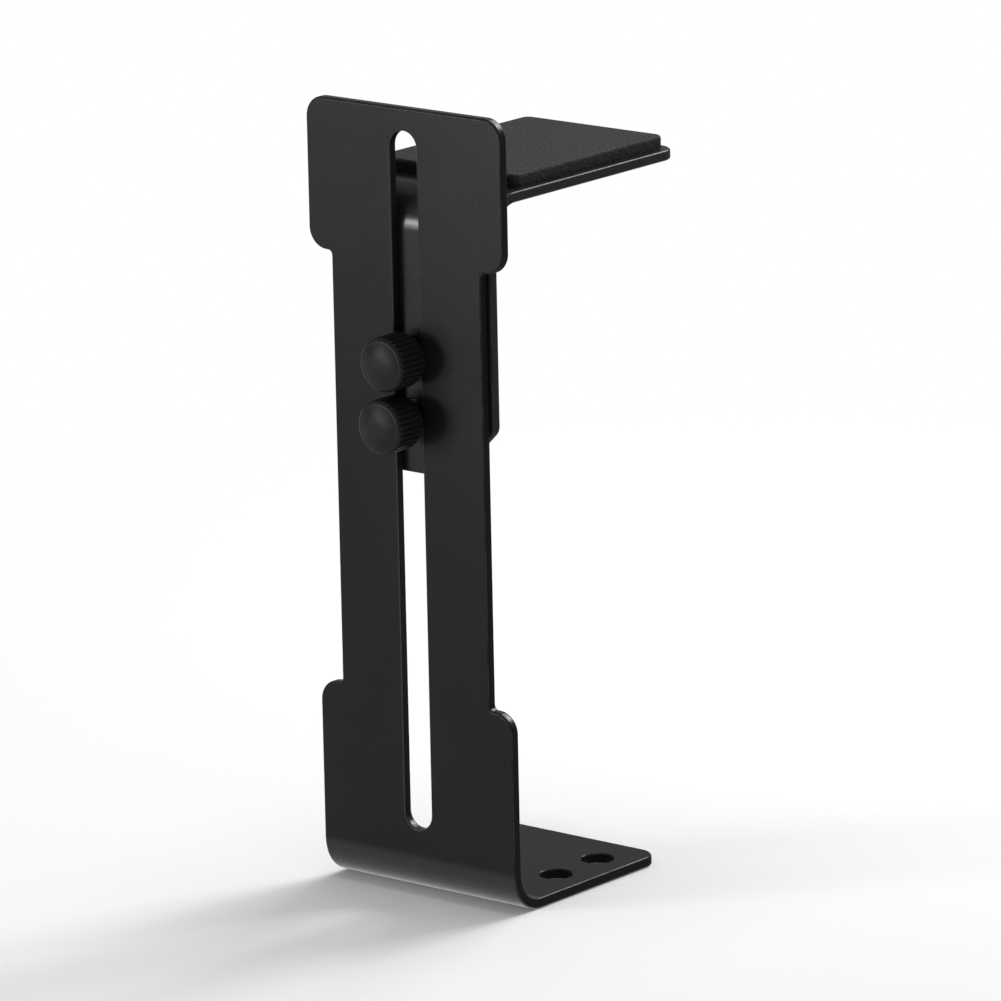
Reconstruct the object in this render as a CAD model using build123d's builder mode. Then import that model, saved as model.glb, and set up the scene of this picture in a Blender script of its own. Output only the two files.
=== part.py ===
from build123d import *
import os

# Height-adjustable support bracket, in millimetres. The origin is the middle of the foot's screw holes, on the
# foot's underside. X runs across the bracket, Y from its front face back along the arm, Z is up.

# Sheet metal, shared by the upright and the arm
sheet = 1.6
inner_bend = 4.6  # radius inside both folds
corner_round = 3.3  # outer corners of both outlines
notch_round = 0.8  # inner corners, where the stem meets the head and the base
edge_break = 0.35  # small rounding of the cut edges
corner_share = 0.75  # most of a shoulder's width that its round corner may take
notch_share = 0.18  # and that the notch beside it may take

# Upright: a wide head, a narrower stem and a wide base in one outline, with one long slot
upright_height = 120.0
plate_width = 36.8  # of the head, the base and the foot
stem_width = 28.3
head_height = 23.0
base_height = 31.0
slot_width = 5.0
slot_foot_land = 10.5  # underside of the foot to the slot's lower end
slot_head_land = 3.5  # slot's upper end to the top edge

# Foot folded back from the base, with a rectangle of plain holes
foot_depth = 34.8  # front face to back edge
hole_diameter = 5.0
hole_span_x = 25.0
hole_span_y = 10.0
hole_back_land = 7.9  # rear row of holes to the foot's back edge

# Arm: a leg behind the upright and an arm folded back from its upper end
arm_height = 107.8  # underside of the foot to the arm's upper face
arm_length = 45.0  # front of the leg to the arm's tip
arm_width = 29.5
leg_length = 43.0  # arm's upper face to the leg's lower end
leg_taper = 8.0  # corner cut at the leg's lower end
taper_round = 2.0  # rounding at both ends of that cut
slide_gap = 0.1  # between the back of the upright and the leg

# Pad glued to the arm
pad_thick = 2.0
pad_margin = 1.5  # metal left bare round the pad
pad_corner = 1.5
pad_edge = 0.5

# Thumbscrews: a grooved knob and a stud turned in one piece, through the slot into a nut
screw_drop = 25.2  # arm's upper face to the upper screw
screw_pitch = 9.25
knob_diameter = 8.3
knob_length = 6.1  # seat to the rim of the face
knob_round = 0.8  # rounding between the face and the grip
knob_chamfer = 0.3  # at the back of the grip
face_crown = 0.5  # rise of the knob's face over its rim
face_flat = 0.6  # radius of the flat in the middle of the face
collar_diameter = 7.0
collar_length = 1.0
groove_count = 30
groove_depth = 0.22
stud_diameter = 3.55  # pitch diameter of the M4 thread that it stands for
stud_length = 8.0  # seat to tip
stud_point = 0.5
seat_gap = 0.05  # between the upper knob's collar and the upright
lower_back_off = 0.8  # the lower screw is turned out by this much more

# Clinch nuts pressed into the leg from behind
nut_diameter = 7.8
nut_height = 2.0  # behind the leg
nut_edge = 0.4
pilot_diameter = 5.4
pilot_short = 0.1  # the pilot stops short of the leg's front face
thread_clearance = 0.05  # between the stud and the nut's bore

# Places that follow from the driving dimensions
outer_bend = inner_bend + sheet
shoulder = (plate_width - stem_width) / 2
corner = min(corner_round, corner_share * shoulder)
notch = min(notch_round, notch_share * shoulder)
foot_back = hole_span_y / 2 + hole_back_land
front = foot_back - foot_depth
upright_back = front + sheet
leg_front = upright_back + slide_gap
leg_back = leg_front + sheet
leg_low = arm_height - leg_length
arm_tip = leg_front + arm_length
pad_front = leg_front + outer_bend + pad_margin
pad_back = arm_tip - pad_margin
knob_seat = front - seat_gap
knob_back = knob_seat - collar_length
knob_rim = knob_seat - knob_length
knob_crown = knob_rim - face_crown
nut_back = leg_back + nut_height
stud_tip = knob_seat + stud_length
upper_screw_height = arm_height - screw_drop
screw_heights = {"upper": upper_screw_height, "lower": upper_screw_height - screw_pitch}
back_offs = {"upper": 0.0, "lower": lower_back_off}


def folded_section(corner_y, corner_z, leg_end, flange_end, turn):
    """Section of a sheet folded once, in the YZ plane. turn is +1 for a flange below its leg, -1 for one above."""
    inner_y = corner_y + sheet
    inner_z = corner_z + turn * sheet
    with BuildSketch(Plane.YZ) as section:
        with BuildLine():
            outside = FilletPolyline(
                (corner_y, leg_end), (corner_y, corner_z), (flange_end, corner_z), radius=outer_bend
            )
            inside = FilletPolyline(
                (flange_end, inner_z), (inner_y, inner_z), (inner_y, leg_end), radius=inner_bend
            )
            Line(outside @ 1, inside @ 0)
            Line(inside @ 1, outside @ 0)
        make_face()
    return section.sketch


def cut_edges(part, fold_height):
    """Edges round the two broad upright faces of a folded sheet, without the lines where its fold begins."""
    broad = part.faces().filter_by(Axis.Y).sort_by(SortBy.AREA)[-2:]
    edges = [edge for face in broad for edge in face.edges()]
    return [edge for edge in edges if abs(edge.center().Z - fold_height) > edge_break]


def along_axis(height, back_off=0.0):
    """Plane through the axis of a screw: local x runs back along the axis, local y up from it."""
    return Plane((0, -back_off, height), x_dir=(0, 1, 0), z_dir=(1, 0, 0))


os.makedirs("parts", exist_ok=True)

# Upright with its foot
with BuildPart() as upright_plate:
    extrude(folded_section(front, 0, upright_height, foot_back, 1), amount=plate_width / 2, both=True)
    with BuildSketch(Plane.XZ) as outline:
        Rectangle(stem_width, upright_height - corner, align=(Align.CENTER, Align.MIN))
        with Locations((0, upright_height)):
            RectangleRounded(plate_width, head_height, corner, align=(Align.CENTER, Align.MAX))
        with Locations((0, base_height)):
            RectangleRounded(plate_width, base_height + 2 * corner, corner, align=(Align.CENTER, Align.MAX))
        fillet([v for v in outline.vertices() if abs(abs(v.X) - stem_width / 2) < notch / 2 and v.Y > 0], notch)
        slot_top = upright_height - slot_head_land
        with Locations((0, (slot_top + slot_foot_land) / 2)):
            SlotOverall(slot_top - slot_foot_land, slot_width, rotation=90, mode=Mode.SUBTRACT)
    extrude(amount=2 * foot_depth, both=True, mode=Mode.INTERSECT)
    fillet(upright_plate.edges().filter_by(Axis.Z).group_by(Axis.Y)[-1], corner_round)
    with BuildSketch():
        with GridLocations(hole_span_x, hole_span_y, 2, 2):
            Circle(hole_diameter / 2)
    extrude(amount=sheet, mode=Mode.SUBTRACT)
    fillet(upright_plate.edges(Select.LAST).filter_by(GeomType.CIRCLE), edge_break)
    fillet(cut_edges(upright_plate, outer_bend), edge_break)
upright_plate.part.label = "upright_plate"
export_step(upright_plate.part, "parts/upright_plate.step")

# Arm with its leg
with BuildPart() as support_arm:
    extrude(folded_section(leg_front, arm_height, leg_low, arm_tip, -1), amount=arm_width / 2, both=True)
    with BuildSketch(Plane.XZ) as leg_outline:
        with Locations((0, arm_height)):
            Rectangle(arm_width, leg_length, align=(Align.CENTER, Align.MAX))
        chamfer(leg_outline.vertices().group_by(Axis.Y)[0], leg_taper)
        fillet([v for row in leg_outline.vertices().group_by(Axis.Y)[:2] for v in row], taper_round)
    extrude(amount=2 * arm_length, both=True, mode=Mode.INTERSECT)
    fillet(support_arm.edges().filter_by(Axis.Z).group_by(Axis.Y)[-1], corner_round)
    with BuildSketch(Plane.XZ.offset(-leg_back)):
        with Locations(*[(0, height) for height in screw_heights.values()]):
            Circle(pilot_diameter / 2)
    extrude(amount=sheet, mode=Mode.SUBTRACT)
    fillet(cut_edges(support_arm, arm_height - outer_bend), edge_break)
support_arm.part.label = "support_arm"
export_step(support_arm.part, "parts/support_arm.step")

# Pad on the arm
with BuildPart() as arm_pad:
    with BuildSketch(Plane.XY.offset(arm_height)):
        with Locations((0, (pad_front + pad_back) / 2)):
            RectangleRounded(arm_width - 2 * pad_margin, pad_back - pad_front, pad_corner)
    extrude(amount=pad_thick)
    fillet(arm_pad.faces().sort_by(Axis.Z)[-1].edges(), pad_edge)
arm_pad.part.label = "arm_pad"
export_step(arm_pad.part, "parts/arm_pad.step")

# Thumbscrews
for place, height in screw_heights.items():
    back_off = back_offs[place]
    with BuildPart() as thumbscrew:
        with BuildSketch(along_axis(height, back_off)):
            with BuildLine():
                face_edge = knob_diameter / 2 - knob_round
                Line((knob_crown, 0), (knob_crown, face_flat))
                TangentArc((knob_crown, face_flat), (knob_rim, face_edge), tangent=(0, 1))
                TangentArc((knob_rim, face_edge), (knob_rim + knob_round, knob_diameter / 2), tangent=(0, 1))
                Polyline(
                    (knob_rim + knob_round, knob_diameter / 2),
                    (knob_back - knob_chamfer, knob_diameter / 2),
                    (knob_back, knob_diameter / 2 - knob_chamfer),
                    (knob_back, collar_diameter / 2),
                    (knob_seat, collar_diameter / 2),
                    (knob_seat, stud_diameter / 2),
                    (stud_tip - stud_point, stud_diameter / 2),
                    (stud_tip, stud_diameter / 2 - stud_point),
                    (stud_tip, 0),
                    (knob_crown, 0),
                )
            make_face()
        revolve(axis=Axis((0, 0, height), (0, 1, 0)))
        with BuildSketch(Plane((0, knob_crown - back_off, height), x_dir=(1, 0, 0), z_dir=(0, 1, 0))):
            with PolarLocations(knob_diameter / 2, groove_count):
                Rectangle(groove_depth * 2**0.5, groove_depth * 2**0.5, rotation=45)
        extrude(amount=knob_back - knob_crown, mode=Mode.SUBTRACT)
    thumbscrew.part.label = f"{place}_thumbscrew"
    export_step(thumbscrew.part, f"parts/{place}_thumbscrew.step")

# Clinch nuts
for place, height in screw_heights.items():
    with BuildPart() as clinch_nut:
        with BuildSketch(along_axis(height)):
            with BuildLine():
                bore = stud_diameter / 2 + thread_clearance
                Polyline(
                    (leg_front + pilot_short, bore),
                    (leg_front + pilot_short, pilot_diameter / 2),
                    (leg_back, pilot_diameter / 2),
                    (leg_back, nut_diameter / 2),
                    (nut_back - nut_edge, nut_diameter / 2),
                    (nut_back, nut_diameter / 2 - nut_edge),
                    (nut_back, bore),
                    close=True,
                )
            make_face()
        revolve(axis=Axis((0, 0, height), (0, 1, 0)))
    clinch_nut.part.label = f"{place}_clinch_nut"
    export_step(clinch_nut.part, f"parts/{place}_clinch_nut.step")
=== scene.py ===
import bpy
import math
import numpy as np
from mathutils import Matrix, Vector


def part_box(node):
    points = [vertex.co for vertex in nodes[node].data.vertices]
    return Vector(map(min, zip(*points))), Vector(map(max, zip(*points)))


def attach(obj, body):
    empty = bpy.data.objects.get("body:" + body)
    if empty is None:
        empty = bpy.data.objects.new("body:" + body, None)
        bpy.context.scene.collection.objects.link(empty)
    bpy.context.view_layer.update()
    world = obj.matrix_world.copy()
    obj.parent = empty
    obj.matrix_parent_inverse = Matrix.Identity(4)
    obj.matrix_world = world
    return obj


# Looks of a height-adjustable support bracket, in metres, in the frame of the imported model
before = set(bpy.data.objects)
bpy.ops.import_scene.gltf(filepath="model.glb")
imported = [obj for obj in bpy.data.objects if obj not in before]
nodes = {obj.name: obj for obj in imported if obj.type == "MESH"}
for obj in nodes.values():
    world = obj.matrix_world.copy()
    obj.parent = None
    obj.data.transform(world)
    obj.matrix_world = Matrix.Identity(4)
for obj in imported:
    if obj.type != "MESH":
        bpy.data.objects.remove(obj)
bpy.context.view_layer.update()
scene = bpy.context.scene
mm = 0.001
print("frame loaded with", len(nodes), "nodes")


# Shader maths: a wrapped socket that can be added, taken away, multiplied and divided
class Wire:
    def __init__(self, tree, socket=None):
        self.tree = tree
        self.socket = socket

    # makes a node of any kind: its settings first, then the values or links of its inputs
    def node(self, kind, settings=None, inputs=None, output=0):
        made = self.tree.nodes.new("ShaderNode" + kind)
        for name, value in (settings or {}).items():
            setattr(made, name, value)
        for name, value in (inputs or {}).items():
            if isinstance(value, Wire):
                self.tree.links.new(value.socket, made.inputs[name])
            else:
                made.inputs[name].default_value = value
        return Wire(self.tree, made.outputs[output] if made.outputs else None)

    def maths(self, operation, first, second=0.0):
        return self.node("Math", {"operation": operation}, {0: first, 1: second})

    def __add__(self, other):
        return self.maths("ADD", self, other)

    def __sub__(self, other):
        return self.maths("SUBTRACT", self, other)

    def __mul__(self, other):
        return self.maths("MULTIPLY", self, other)

    def __truediv__(self, other):
        return self.maths("DIVIDE", self, other)

    def __radd__(self, other):
        return self.maths("ADD", other, self)

    def __rsub__(self, other):
        return self.maths("SUBTRACT", other, self)

    def __rmul__(self, other):
        return self.maths("MULTIPLY", other, self)

    def __rtruediv__(self, other):
        return self.maths("DIVIDE", other, self)

    # 0 below low, 1 above high, smooth between
    def ramp(self, low, high):
        return self.node("MapRange", {"interpolation_type": "SMOOTHSTEP"},
                         {"Value": self, "From Min": low, "From Max": high})

    # a pattern of 0 to 1 made to swing about zero by the given amount in all
    def swing(self, amount):
        return amount * (self - 0.5)

    # the parts of a vector along the named axes
    def split(self, vector, axes):
        return [self.node("SeparateXYZ", None, {"Vector": vector}, output=axis) for axis in axes]

    # cloud noise whose lumps are about size metres across
    def cloud(self, place, size, detail=2.0, roughness=0.5):
        return self.node("TexNoise", None, {"Vector": place, "Scale": 1 / size, "Detail": detail,
                                            "Roughness": roughness})

    # blends two plain colours or colour wires by a mask
    def blend(self, mask, first, second):
        rgba = [c if isinstance(c, Wire) else (*c, 1.0) for c in (first, second)]
        return self.node("Mix", {"data_type": "RGBA"}, {0: mask, 6: rgba[0], 7: rgba[1]}, output=2)

    # normal of a height field whose full height is depth metres
    def relief(self, height, depth):
        return self.node("Bump", None, {"Height": height, "Distance": depth, "Strength": 1.0})


def newMaterial(name):
    material = bpy.data.materials.new(name)
    material.use_nodes = True
    material.node_tree.nodes.clear()
    return material, Wire(material.node_tree)


def surface(wire, shader):
    wire.node("OutputMaterial", None, {"Surface": shader})


def principled(wire, inputs):
    return wire.node("BsdfPrincipled", None, inputs)


# Powder coat: fine orange peel and grain, a slow drift of gloss over the sheet, rims and folds rubbed
# smoother with a painted highlight in the rims' colour, duller cut edges with the marks of the shears, and
# painted light on the slot's walls and rims that lifts the shade inside the slot.
# A name in Tone is a pattern's share of the lighter colour, one in Gloss its swing of the roughness,
# one in Relief its share of the bumps, and one in Turn the turns of a face between which a mask rises.
plateCoat = {
    # broad faces
    "colour": (0.0075, 0.0075, 0.0077), "lighter": (0.0115, 0.0115, 0.0118), "roughness": 0.28,
    "specular": 0.075, "peel": 0.55 * mm, "peelHarsh": 0.45, "peelDepth": 0.010 * mm, "peelTone": 0.35,
    "speckReach": 0.7, "speckTone": 0.15, "drift": 14 * mm, "driftTone": 0.5, "driftGloss": 0.10,
    "grain": 0.16 * mm, "grainGloss": 0.08, "grainRelief": 0.35,
    # rubbed rims and folds; the rims' lighter colour is a painted highlight
    "rim": (0.020, 0.020, 0.0205), "rimTurn": (0.25, 0.60), "rimGloss": 0.06, "rimBurnish": 0.5,
    "rub": 3 * mm, "rimReach": (0.30, 0.65), "burnish": 0.40, "burnishRoughness": 0.24,
    "foldBurnish": 0.8, "foldSwing": 0.4, "foldSoft": 0.7 * mm,
    # cut edges, glossier where they face up and the coat pooled
    "edge": (0.0065, 0.0065, 0.0067), "edgeTurn": (0.80, 0.97), "edgeRoughness": 0.62,
    "edgeSpecular": 0.04, "edgeGrainRelief": 0.4, "shear": 0.22 * mm, "shearDepth": 0.015 * mm,
    "shearTone": 0.6, "shearGloss": 0.15, "pooled": 0.6, "pooledTurn": (0.25, 0.65),
    # painted light along the slot: lighter walls that lift the shade inside it, and brighter painted
    # highlights on its rims
    "slotLitWall": (0.013, 0.013, 0.0132), "slotHighlightRim": (0.044, 0.044, 0.0445), "slotLitLeast": 0.6,
    "slotHalf": 2.95 * mm, "slotLow": 9.9 * mm, "slotHigh": 117.1 * mm, "slotSoft": 0.3 * mm,
    # where the fold ends on the leg and on the flange, and whether the leg is above (1) or below (-1)
    "legEnd": 6.2 * mm, "flangeEnd": -15.7 * mm, "legSide": 1,
}
# painted light: the arm's coat is lighter than the plate's, and its cut edges lighter still, to lift the
# shade on the leg behind the upright
armCoat = {
    **plateCoat, "colour": (0.0105, 0.0105, 0.0108), "lighter": (0.0155, 0.0155, 0.0160), "specular": 0.09,
    "edge": (0.0260, 0.0260, 0.0266), "drift": 11 * mm, "legEnd": 101.6 * mm, "flangeEnd": -14.0 * mm,
    "legSide": -1, "slotHalf": -1 * mm,  # below zero: the arm has no slot
}


# how far a face turns from the broad side of the folded sheet, 0 on that side and 1 on a cut edge,
# then 1 on the fold and 0 off it, then how far the face looks up
def sheetMasks(wire, place, look):
    nx, ny, nz = wire.split(wire.node("TexCoord", output="Normal"), "XYZ")
    y, z = wire.split(place, "YZ")
    onLeg = wire.maths("GREATER_THAN", look["legSide"] * (z - look["legEnd"]), 0.0)
    onFlange = wire.maths("GREATER_THAN", y, look["flangeEnd"]) * (1 - onLeg)
    onFold = 1 - onLeg - onFlange
    legTurn, flangeTurn = [wire.maths("SQRT", wire.maths("MAXIMUM", 1 - n * n, 0.0)) for n in (ny, nz)]
    turn = onLeg * legTurn + onFlange * flangeTurn + onFold * wire.maths("ABSOLUTE", nx)
    soft = look["foldSoft"]
    pastLeg = (look["legSide"] * (look["legEnd"] - z)).ramp(-soft, soft)
    beforeFlange = (look["flangeEnd"] - y).ramp(-soft, soft)
    return turn, pastLeg * beforeFlange, nz


# 1 on the walls and rims of the long slot, where light is painted into the coat to lift the shade inside
# the slot, and 0 elsewhere
def slotLightBand(wire, place, look):
    x, z = wire.split(place, "XZ")
    soft = look["slotSoft"]
    beside = wire.maths("ABSOLUTE", x).ramp(look["slotHalf"], look["slotHalf"] + soft)
    above = z.ramp(look["slotHigh"], look["slotHigh"] + soft)
    return (1 - beside) * (1 - above) * z.ramp(look["slotLow"] - soft, look["slotLow"])


def powderCoat(name, look):
    material, wire = newMaterial(name)
    place = wire.node("TexCoord", output="Object")
    peel = wire.cloud(place, look["peel"], roughness=look["peelHarsh"])
    grain = wire.cloud(place, look["grain"], detail=1.0)
    drift = wire.cloud(place, look["drift"], detail=3.0)
    rub = wire.cloud(place, look["rub"], detail=3.0)
    shear = wire.cloud(place, look["shear"], detail=1.0)
    cells = wire.node("TexVoronoi", None, {"Vector": place, "Scale": 1 / look["peel"]})
    speck = cells.ramp(0.0, look["speckReach"])
    turn, fold, up = sheetMasks(wire, place, look)
    slotPaintedLight = slotLightBand(wire, place, look)
    cut = turn.ramp(*look["edgeTurn"])
    # the slot band joins the rub patches, so the painted rim highlight also runs along the slot's rims
    rimReach = wire.maths("MAXIMUM", rub.ramp(*look["rimReach"]), slotPaintedLight)
    # painted highlight: a lighter colour on the rounded rims, broken up by the rub patches
    rim = turn.ramp(*look["rimTurn"]) * (1 - cut) * rimReach

    tone = look["driftTone"] * drift + look["peelTone"] * peel + look["speckTone"] * speck
    sheet = wire.blend(tone, look["colour"], look["lighter"])
    # brighter painted highlight on the slot's rims
    rimColour = wire.blend(slotPaintedLight, look["rim"], look["slotHighlightRim"])
    gloss = drift.swing(look["driftGloss"]) + grain.swing(look["grainGloss"]) - look["rimGloss"] * rim
    foldBurnish = fold * (look["foldBurnish"] + rub.swing(look["foldSwing"]))
    broad = principled(wire, {
        "Base Color": wire.blend(rim, sheet, rimColour),
        "Roughness": look["roughness"] + gloss,
        "Specular IOR Level": look["specular"],
        "Coat Weight": look["burnish"] * wire.maths("MAXIMUM", foldBurnish, look["rimBurnish"] * rim),
        "Coat Roughness": look["burnishRoughness"],
        "Normal": wire.relief(peel + look["grainRelief"] * grain, look["peelDepth"]),
    })

    sheared = wire.blend(look["shearTone"] * shear, look["edge"], look["lighter"])
    # painted light: the slot's walls take a lighter colour, in patches, to lift the shade inside the slot
    slotLitShare = slotPaintedLight * (look["slotLitLeast"] + (1 - look["slotLitLeast"]) * rub)
    edge = principled(wire, {
        "Base Color": wire.blend(slotLitShare, sheared, look["slotLitWall"]),
        "Roughness": look["edgeRoughness"] + shear.swing(look["shearGloss"]),
        "Specular IOR Level": look["edgeSpecular"],
        "Coat Weight": look["pooled"] * up.ramp(*look["pooledTurn"]),
        "Coat Roughness": look["burnishRoughness"],
        "Normal": wire.relief(shear + look["edgeGrainRelief"] * grain, look["shearDepth"]),
    })
    surface(wire, wire.node("MixShader", None, {0: cut, 1: broad, 2: edge}))
    return material


# Soft pad: matte rubber with a fine pebbled skin, named as the powder coat is
padSkin = {
    "colour": (0.011, 0.011, 0.011), "lighter": (0.021, 0.021, 0.021), "roughness": 0.80, "specular": 0.25,
    "pebble": 0.55 * mm, "pebbleSoft": 0.4, "pebbleReach": (0.1, 0.75), "pebbleGloss": 0.10,
    "depth": 0.09 * mm, "mottle": 6 * mm, "mottleTone": 0.35, "mottleGloss": 0.12,
}


def padRubber(look):
    material, wire = newMaterial("pad_rubber")
    place = wire.node("TexCoord", output="Object")
    hollow = wire.node("TexVoronoi", {"feature": "SMOOTH_F1"},
                       {"Vector": place, "Scale": 1 / look["pebble"], "Smoothness": look["pebbleSoft"]})
    pebble = 1 - hollow
    mottle = wire.cloud(place, look["mottle"], detail=4.0)
    pebbleTops = 1 - hollow.ramp(*look["pebbleReach"])
    tone = look["mottleTone"] * mottle + (1 - look["mottleTone"]) * pebbleTops
    surface(wire, principled(wire, {
        "Base Color": wire.blend(tone, look["colour"], look["lighter"]),
        "Roughness": look["roughness"] + mottle.swing(look["mottleGloss"]) - look["pebbleGloss"] * pebble,
        "Specular IOR Level": look["specular"],
        "Normal": wire.relief(pebble, look["depth"]),
    }))
    return material


# Turned metal: fine rings left by the tool on the ends, lines round the sides, about an axis along Y
knobFinish = {
    "colour": (0.0110, 0.0110, 0.0113), "lighter": (0.0160, 0.0160, 0.0164), "metallic": 0.0,
    "roughness": 0.31, "specular": 0.052, "ring": 0.16 * mm, "depth": 0.004 * mm, "ringGloss": 0.05,
    "ringWaver": 0.5, "ringFrom": (0.2 * mm, 0.9 * mm),  # no rings in the very middle of an end
    "blotch": 2.5 * mm, "blotchGloss": 0.14, "finer": 6, "fineTone": 0.45, "toneRange": (0.25, 0.75),
}
nutFinish = {
    **knobFinish, "colour": (0.020, 0.020, 0.021), "lighter": (0.034, 0.034, 0.035), "metallic": 1.0,
    "roughness": 0.46, "specular": 0.5, "ring": 0.22 * mm, "depth": 0.006 * mm, "blotch": 0.9 * mm,
    # bare steel where the press took hold: its colour, where it starts, and what share of it shows
    # everywhere, on the rings and in the blotches
    "pressed": (0.150, 0.149, 0.147), "pressedFrom": -18.4 * mm, "pressedSoft": 0.3 * mm,
    "pressedShares": (0.5, 0.3, 0.2),
}


def turnedMetal(name, look, axisHeight):
    material, wire = newMaterial(name)
    place = wire.node("TexCoord", output="Object")
    centred = wire.node("Mapping", None, {"Vector": place, "Location": (0, 0, -axisHeight)})
    across = wire.node("VectorMath", {"operation": "MULTIPLY"}, {0: centred, 1: (1, 0, 1)})
    radius = wire.node("VectorMath", {"operation": "LENGTH"}, {0: across}, output="Value")
    along, = wire.split(centred, "Y")
    step = (radius + along) / look["ring"]
    waver = wire.cloud(centred, look["blotch"])
    wave = wire.maths("SINE", 2 * math.pi * (step + look["ringWaver"] * waver))
    rings = 0.5 * wave * radius.ramp(*look["ringFrom"]) + 0.5
    fine = wire.cloud(centred, look["blotch"] / look["finer"])
    tone = (1 - look["fineTone"]) * waver + look["fineTone"] * fine
    skin = wire.blend(tone.ramp(*look["toneRange"]), look["colour"], look["lighter"])
    if "pressed" in look:
        least, onRings, inBlotches = look["pressedShares"]
        collar = (along - look["pressedFrom"]).ramp(0.0, look["pressedSoft"])
        bare = collar * (least + onRings * rings + inBlotches * tone)
        skin = wire.blend(bare, skin, look["pressed"])
    surface(wire, principled(wire, {
        "Base Color": skin,
        "Metallic": look["metallic"],
        "Roughness": look["roughness"] + waver.swing(look["blotchGloss"]) + look["ringGloss"] * rings,
        "Specular IOR Level": look["specular"],
        "Normal": wire.relief(rings, look["depth"]),
    }))
    return material


# Screw thread round the free end of each stud
thread = {
    "major": 4.0 * mm, "stud": 3.55 * mm, "pitch": 0.7 * mm, "crest": 0.2, "gap": 0.12 * mm,
    "leadTurns": 0.25,  # turns over which the thread rises from the stud
    "point": 0.5 * mm, "pointDepth": 0.8,  # length of the point, and share of the depth where it starts
    "proud": 0.004 * mm, "under": 0.08 * mm, "leastInner": 0.2 * mm,  # over and under the stud's surface
    "rings": 61, "turnSteps": 96,
}


def threadMesh(name, axisHeight, start, tip, spec):
    # radius(y, angle) = stud radius + depth * cut-off triangle wave of y / pitch - angle / turn,
    # held under a cone towards the point; an inner wall below the stud's surface closes the ring
    studRadius = spec["stud"] / 2
    depth = spec["major"] / 2 - studRadius
    pointStart = tip - spec["point"]
    y = np.linspace(start, tip, spec["rings"])[:, None]
    angle = np.linspace(0, 2 * np.pi, spec["turnSteps"], endpoint=False)[None, :]
    phase = (y / spec["pitch"] - angle / (2 * np.pi)) % 1.0
    wave = np.clip((1 - np.abs(2 * phase - 1)) / (1 - spec["crest"]), 0, 1)
    lead = np.clip((y - start) / (spec["leadTurns"] * spec["pitch"]), 0, 1)
    cone = np.where(y > pointStart, studRadius + spec["pointDepth"] * depth - (y - pointStart), np.inf)
    radius = np.minimum(studRadius + depth * wave * lead + spec["proud"], cone)
    inner = np.full((1, spec["turnSteps"]), studRadius - spec["under"])
    last = np.full((1, spec["turnSteps"]), max(radius[-1].min() - spec["under"], spec["leastInner"]))
    radius = np.vstack([inner, radius, last, last, inner])
    y = np.vstack([y[:1], y, y[-1:], y[-1:] - spec["point"], y[-1:] - spec["point"]])
    y = np.broadcast_to(y, radius.shape)
    points = np.stack([radius * np.sin(angle), y, axisHeight + radius * np.cos(angle)], axis=-1)
    rows, columns = radius.shape
    row, column = np.meshgrid(np.arange(rows), np.arange(columns), indexing="ij")
    nextRow, nextColumn = (row + 1) % rows, (column + 1) % columns
    quads = np.stack([row * columns + column, row * columns + nextColumn,
                      nextRow * columns + nextColumn, nextRow * columns + column], axis=-1).reshape(-1, 4)
    mesh = bpy.data.meshes.new(name)
    mesh.from_pydata(points.reshape(-1, 3).tolist(), [], quads.tolist())
    mesh.shade_smooth()
    mesh.update()
    return mesh


coats = {"upright_plate": powderCoat("plate_coat_look", plateCoat),
         "support_arm": powderCoat("arm_coat_look", armCoat),
         "arm_pad": padRubber(padSkin)}
for name, material in coats.items():
    nodes[name].material_slots[0].material = material
print("coats and pad done")

for place in ("upper", "lower"):
    low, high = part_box(f"{place}_thumbscrew")
    axisHeight = (low.z + high.z) / 2
    knobLook = turnedMetal(f"{place}_screw_look", knobFinish, axisHeight)
    nutLook = turnedMetal(f"{place}_nut_look", nutFinish, axisHeight)
    nodes[f"{place}_thumbscrew"].material_slots[0].material = knobLook
    nodes[f"{place}_clinch_nut"].material_slots[0].material = nutLook
    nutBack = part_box(f"{place}_clinch_nut")[1].y
    turnsName = f"{place}_stud_thread"
    turnsMesh = threadMesh(turnsName, axisHeight, nutBack + thread["gap"], high.y, thread)
    turns = bpy.data.objects.new(turnsName, turnsMesh)
    scene.collection.objects.link(turns)
    turnsMesh.materials.append(knobLook)
    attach(turns, f"{place}_screw")
print("screws, nuts and threads done")


# Floor: a wide disc, pale near the bracket and plain white far off
floorLook = {"colour": (0.90, 0.90, 0.90), "radius": 6.0, "fadeStart": 0.07, "fadeEnd": 0.30,
             "drop": 0.02 * mm, "rings": 24, "sectors": 96}


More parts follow.
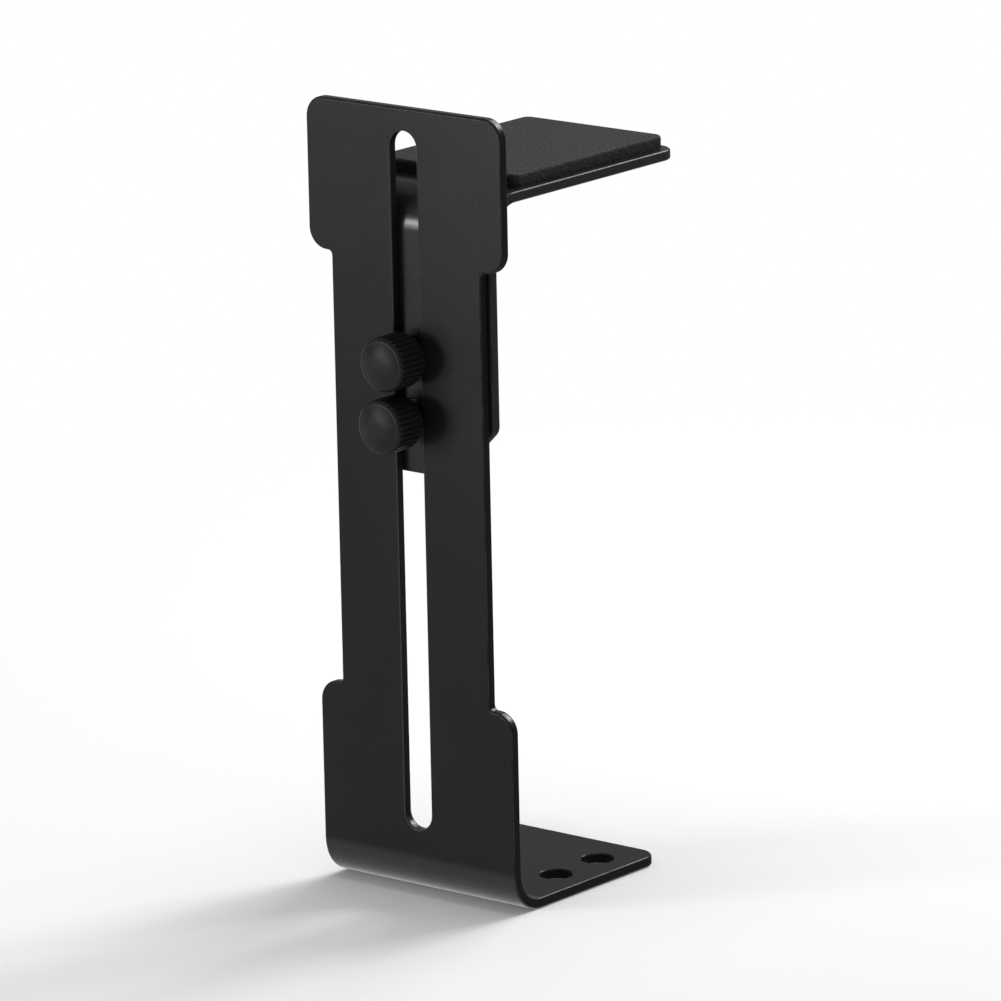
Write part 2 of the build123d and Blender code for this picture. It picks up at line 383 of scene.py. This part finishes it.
def makeFloor(look):
    # rings of radius = full radius * share squared, round the middle of the foot's holes
    sectors = look["sectors"]
    reach = look["radius"] * np.linspace(0, 1, look["rings"] + 1)[1:, None] ** 2
    angle = np.linspace(0, 2 * np.pi, sectors, endpoint=False)[None, :]
    height = np.full((look["rings"], sectors), -look["drop"])
    ring = np.stack([reach * np.cos(angle), reach * np.sin(angle), height], axis=-1).reshape(-1, 3)
    points = np.vstack([[[0, 0, -look["drop"]]], ring])
    step = np.arange(sectors)
    middle = np.stack([np.zeros(sectors, int), 1 + step, 1 + (step + 1) % sectors], axis=-1)
    row, column = np.meshgrid(np.arange(look["rings"] - 1), step, indexing="ij")
    nextColumn = (column + 1) % sectors
    near, far = 1 + row * sectors, 1 + (row + 1) * sectors
    quads = np.stack([near + column, far + column, far + nextColumn, near + nextColumn], axis=-1)
    mesh = bpy.data.meshes.new("floor")
    mesh.from_pydata(points.tolist(), [], middle.tolist() + quads.reshape(-1, 4).tolist())
    floor = bpy.data.objects.new("floor", mesh)
    scene.collection.objects.link(floor)
    material, wire = newMaterial("floor_look")
    place = wire.node("TexCoord", output="Object")
    away = wire.node("VectorMath", {"operation": "LENGTH"}, {0: place}, output="Value")
    shade = wire.node("BsdfDiffuse", None, {"Color": (*look["colour"], 1)})
    white = wire.node("Emission", None, {"Color": (1, 1, 1, 1), "Strength": 1.0})
    farOff = away.ramp(look["fadeStart"], look["fadeEnd"])
    seen, mirrored, through = [wire.node("LightPath", output=f"Is {kind} Ray")
                               for kind in ("Camera", "Glossy", "Transmission")]
    fade = wire.maths("MINIMUM", seen * farOff + mirrored + through, 1.0)
    surface(wire, wire.node("MixShader", None, {0: fade, 1: shade, 2: white}))
    mesh.materials.append(material)


makeFloor(floorLook)

# World: even grey light all round
worldLook = {"grey": 0.34}
world = bpy.data.worlds.new("studio")
scene.world = world
world.use_nodes = True
world.node_tree.nodes.clear()
sky = Wire(world.node_tree)
skyLight = sky.node("Background", None, {"Color": (1, 1, 1, 1), "Strength": worldLook["grey"]})
sky.node("OutputWorld", None, {"Surface": skyLight})
print("floor and world done")

# Soft boxes: where each stands, what it points at, its side and its power
softBoxes = {
    "key": {"at": (-0.2, -0.45, 0.05), "to": (0, -0.02, 0.10), "side": 0.08, "watts": 0.7},
    "top": {"at": (0.00, 0.06, 0.80), "to": (0, 0, 0.0), "side": 0.5, "watts": 1.6},
    "side": {"at": (-0.31, -0.45, 0.12), "to": (0, 0, 0.07), "side": 0.1, "watts": 1.1},
    "back": {"at": (0.13, 0.45, 0.42), "to": (0, 0, 0.06), "side": 0.2, "watts": 1.4},
    "rear": {"at": (-0.03, 0.46, 0.46), "to": (0, 0, 0.06), "side": 0.3, "watts": 1.3},
}


def aimAt(eye, target, roll=0.0):
    # turn that looks from eye to target with the horizon level, then rolled about the line of sight
    ahead = (target - eye).normalized()
    right = ahead.cross(Vector((0, 0, 1))).normalized()
    up = right.cross(ahead)
    c, s = math.cos(roll), math.sin(roll)
    columns = (c * right + s * up, c * up - s * right, -ahead)
    return Matrix(columns).transposed().to_4x4()


for name, box in softBoxes.items():
    lamp = bpy.data.lights.new(name + "_box", "AREA")
    lamp.size = box["side"]
    lamp.energy = box["watts"]
    stand = bpy.data.objects.new(name + "_box", lamp)
    stand.matrix_world = Matrix.Translation(box["at"]) @ aimAt(Vector(box["at"]), Vector(box["to"]))
    scene.collection.objects.link(stand)

# Camera: the photograph's own direction and distance, closed in on the bracket
viewFrom = {
    "middle": (0, -0.01415, 0.0581), "azimuth": 39.731, "elevation": 14.116, "roll": -1.189,
    "distance": 1.1917, "aim": (0.0064, -0.0088, 0.0592),
    "focalPixels": 2891.7, "windowPixels": 360,  # in the photograph: focal length, and width of the view
    "sensor": 36.0,
}


def makeCamera(view):
    azimuth, elevation = math.radians(view["azimuth"]), math.radians(view["elevation"])
    back = Vector((math.sin(azimuth) * math.cos(elevation), -math.cos(azimuth) * math.cos(elevation),
                   math.sin(elevation)))
    eye = Vector(view["middle"]) + view["distance"] * back
    lens = bpy.data.cameras.new("camera")
    lens.sensor_width = view["sensor"]
    lens.lens = view["sensor"] * view["focalPixels"] / view["windowPixels"]
    camera = bpy.data.objects.new("camera", lens)
    turn = aimAt(eye, Vector(view["aim"]), math.radians(view["roll"]))
    camera.matrix_world = Matrix.Translation(eye) @ turn
    scene.collection.objects.link(camera)
    scene.camera = camera


makeCamera(viewFrom)
scene.view_settings.view_transform = "Standard"
print("lamps and camera done")
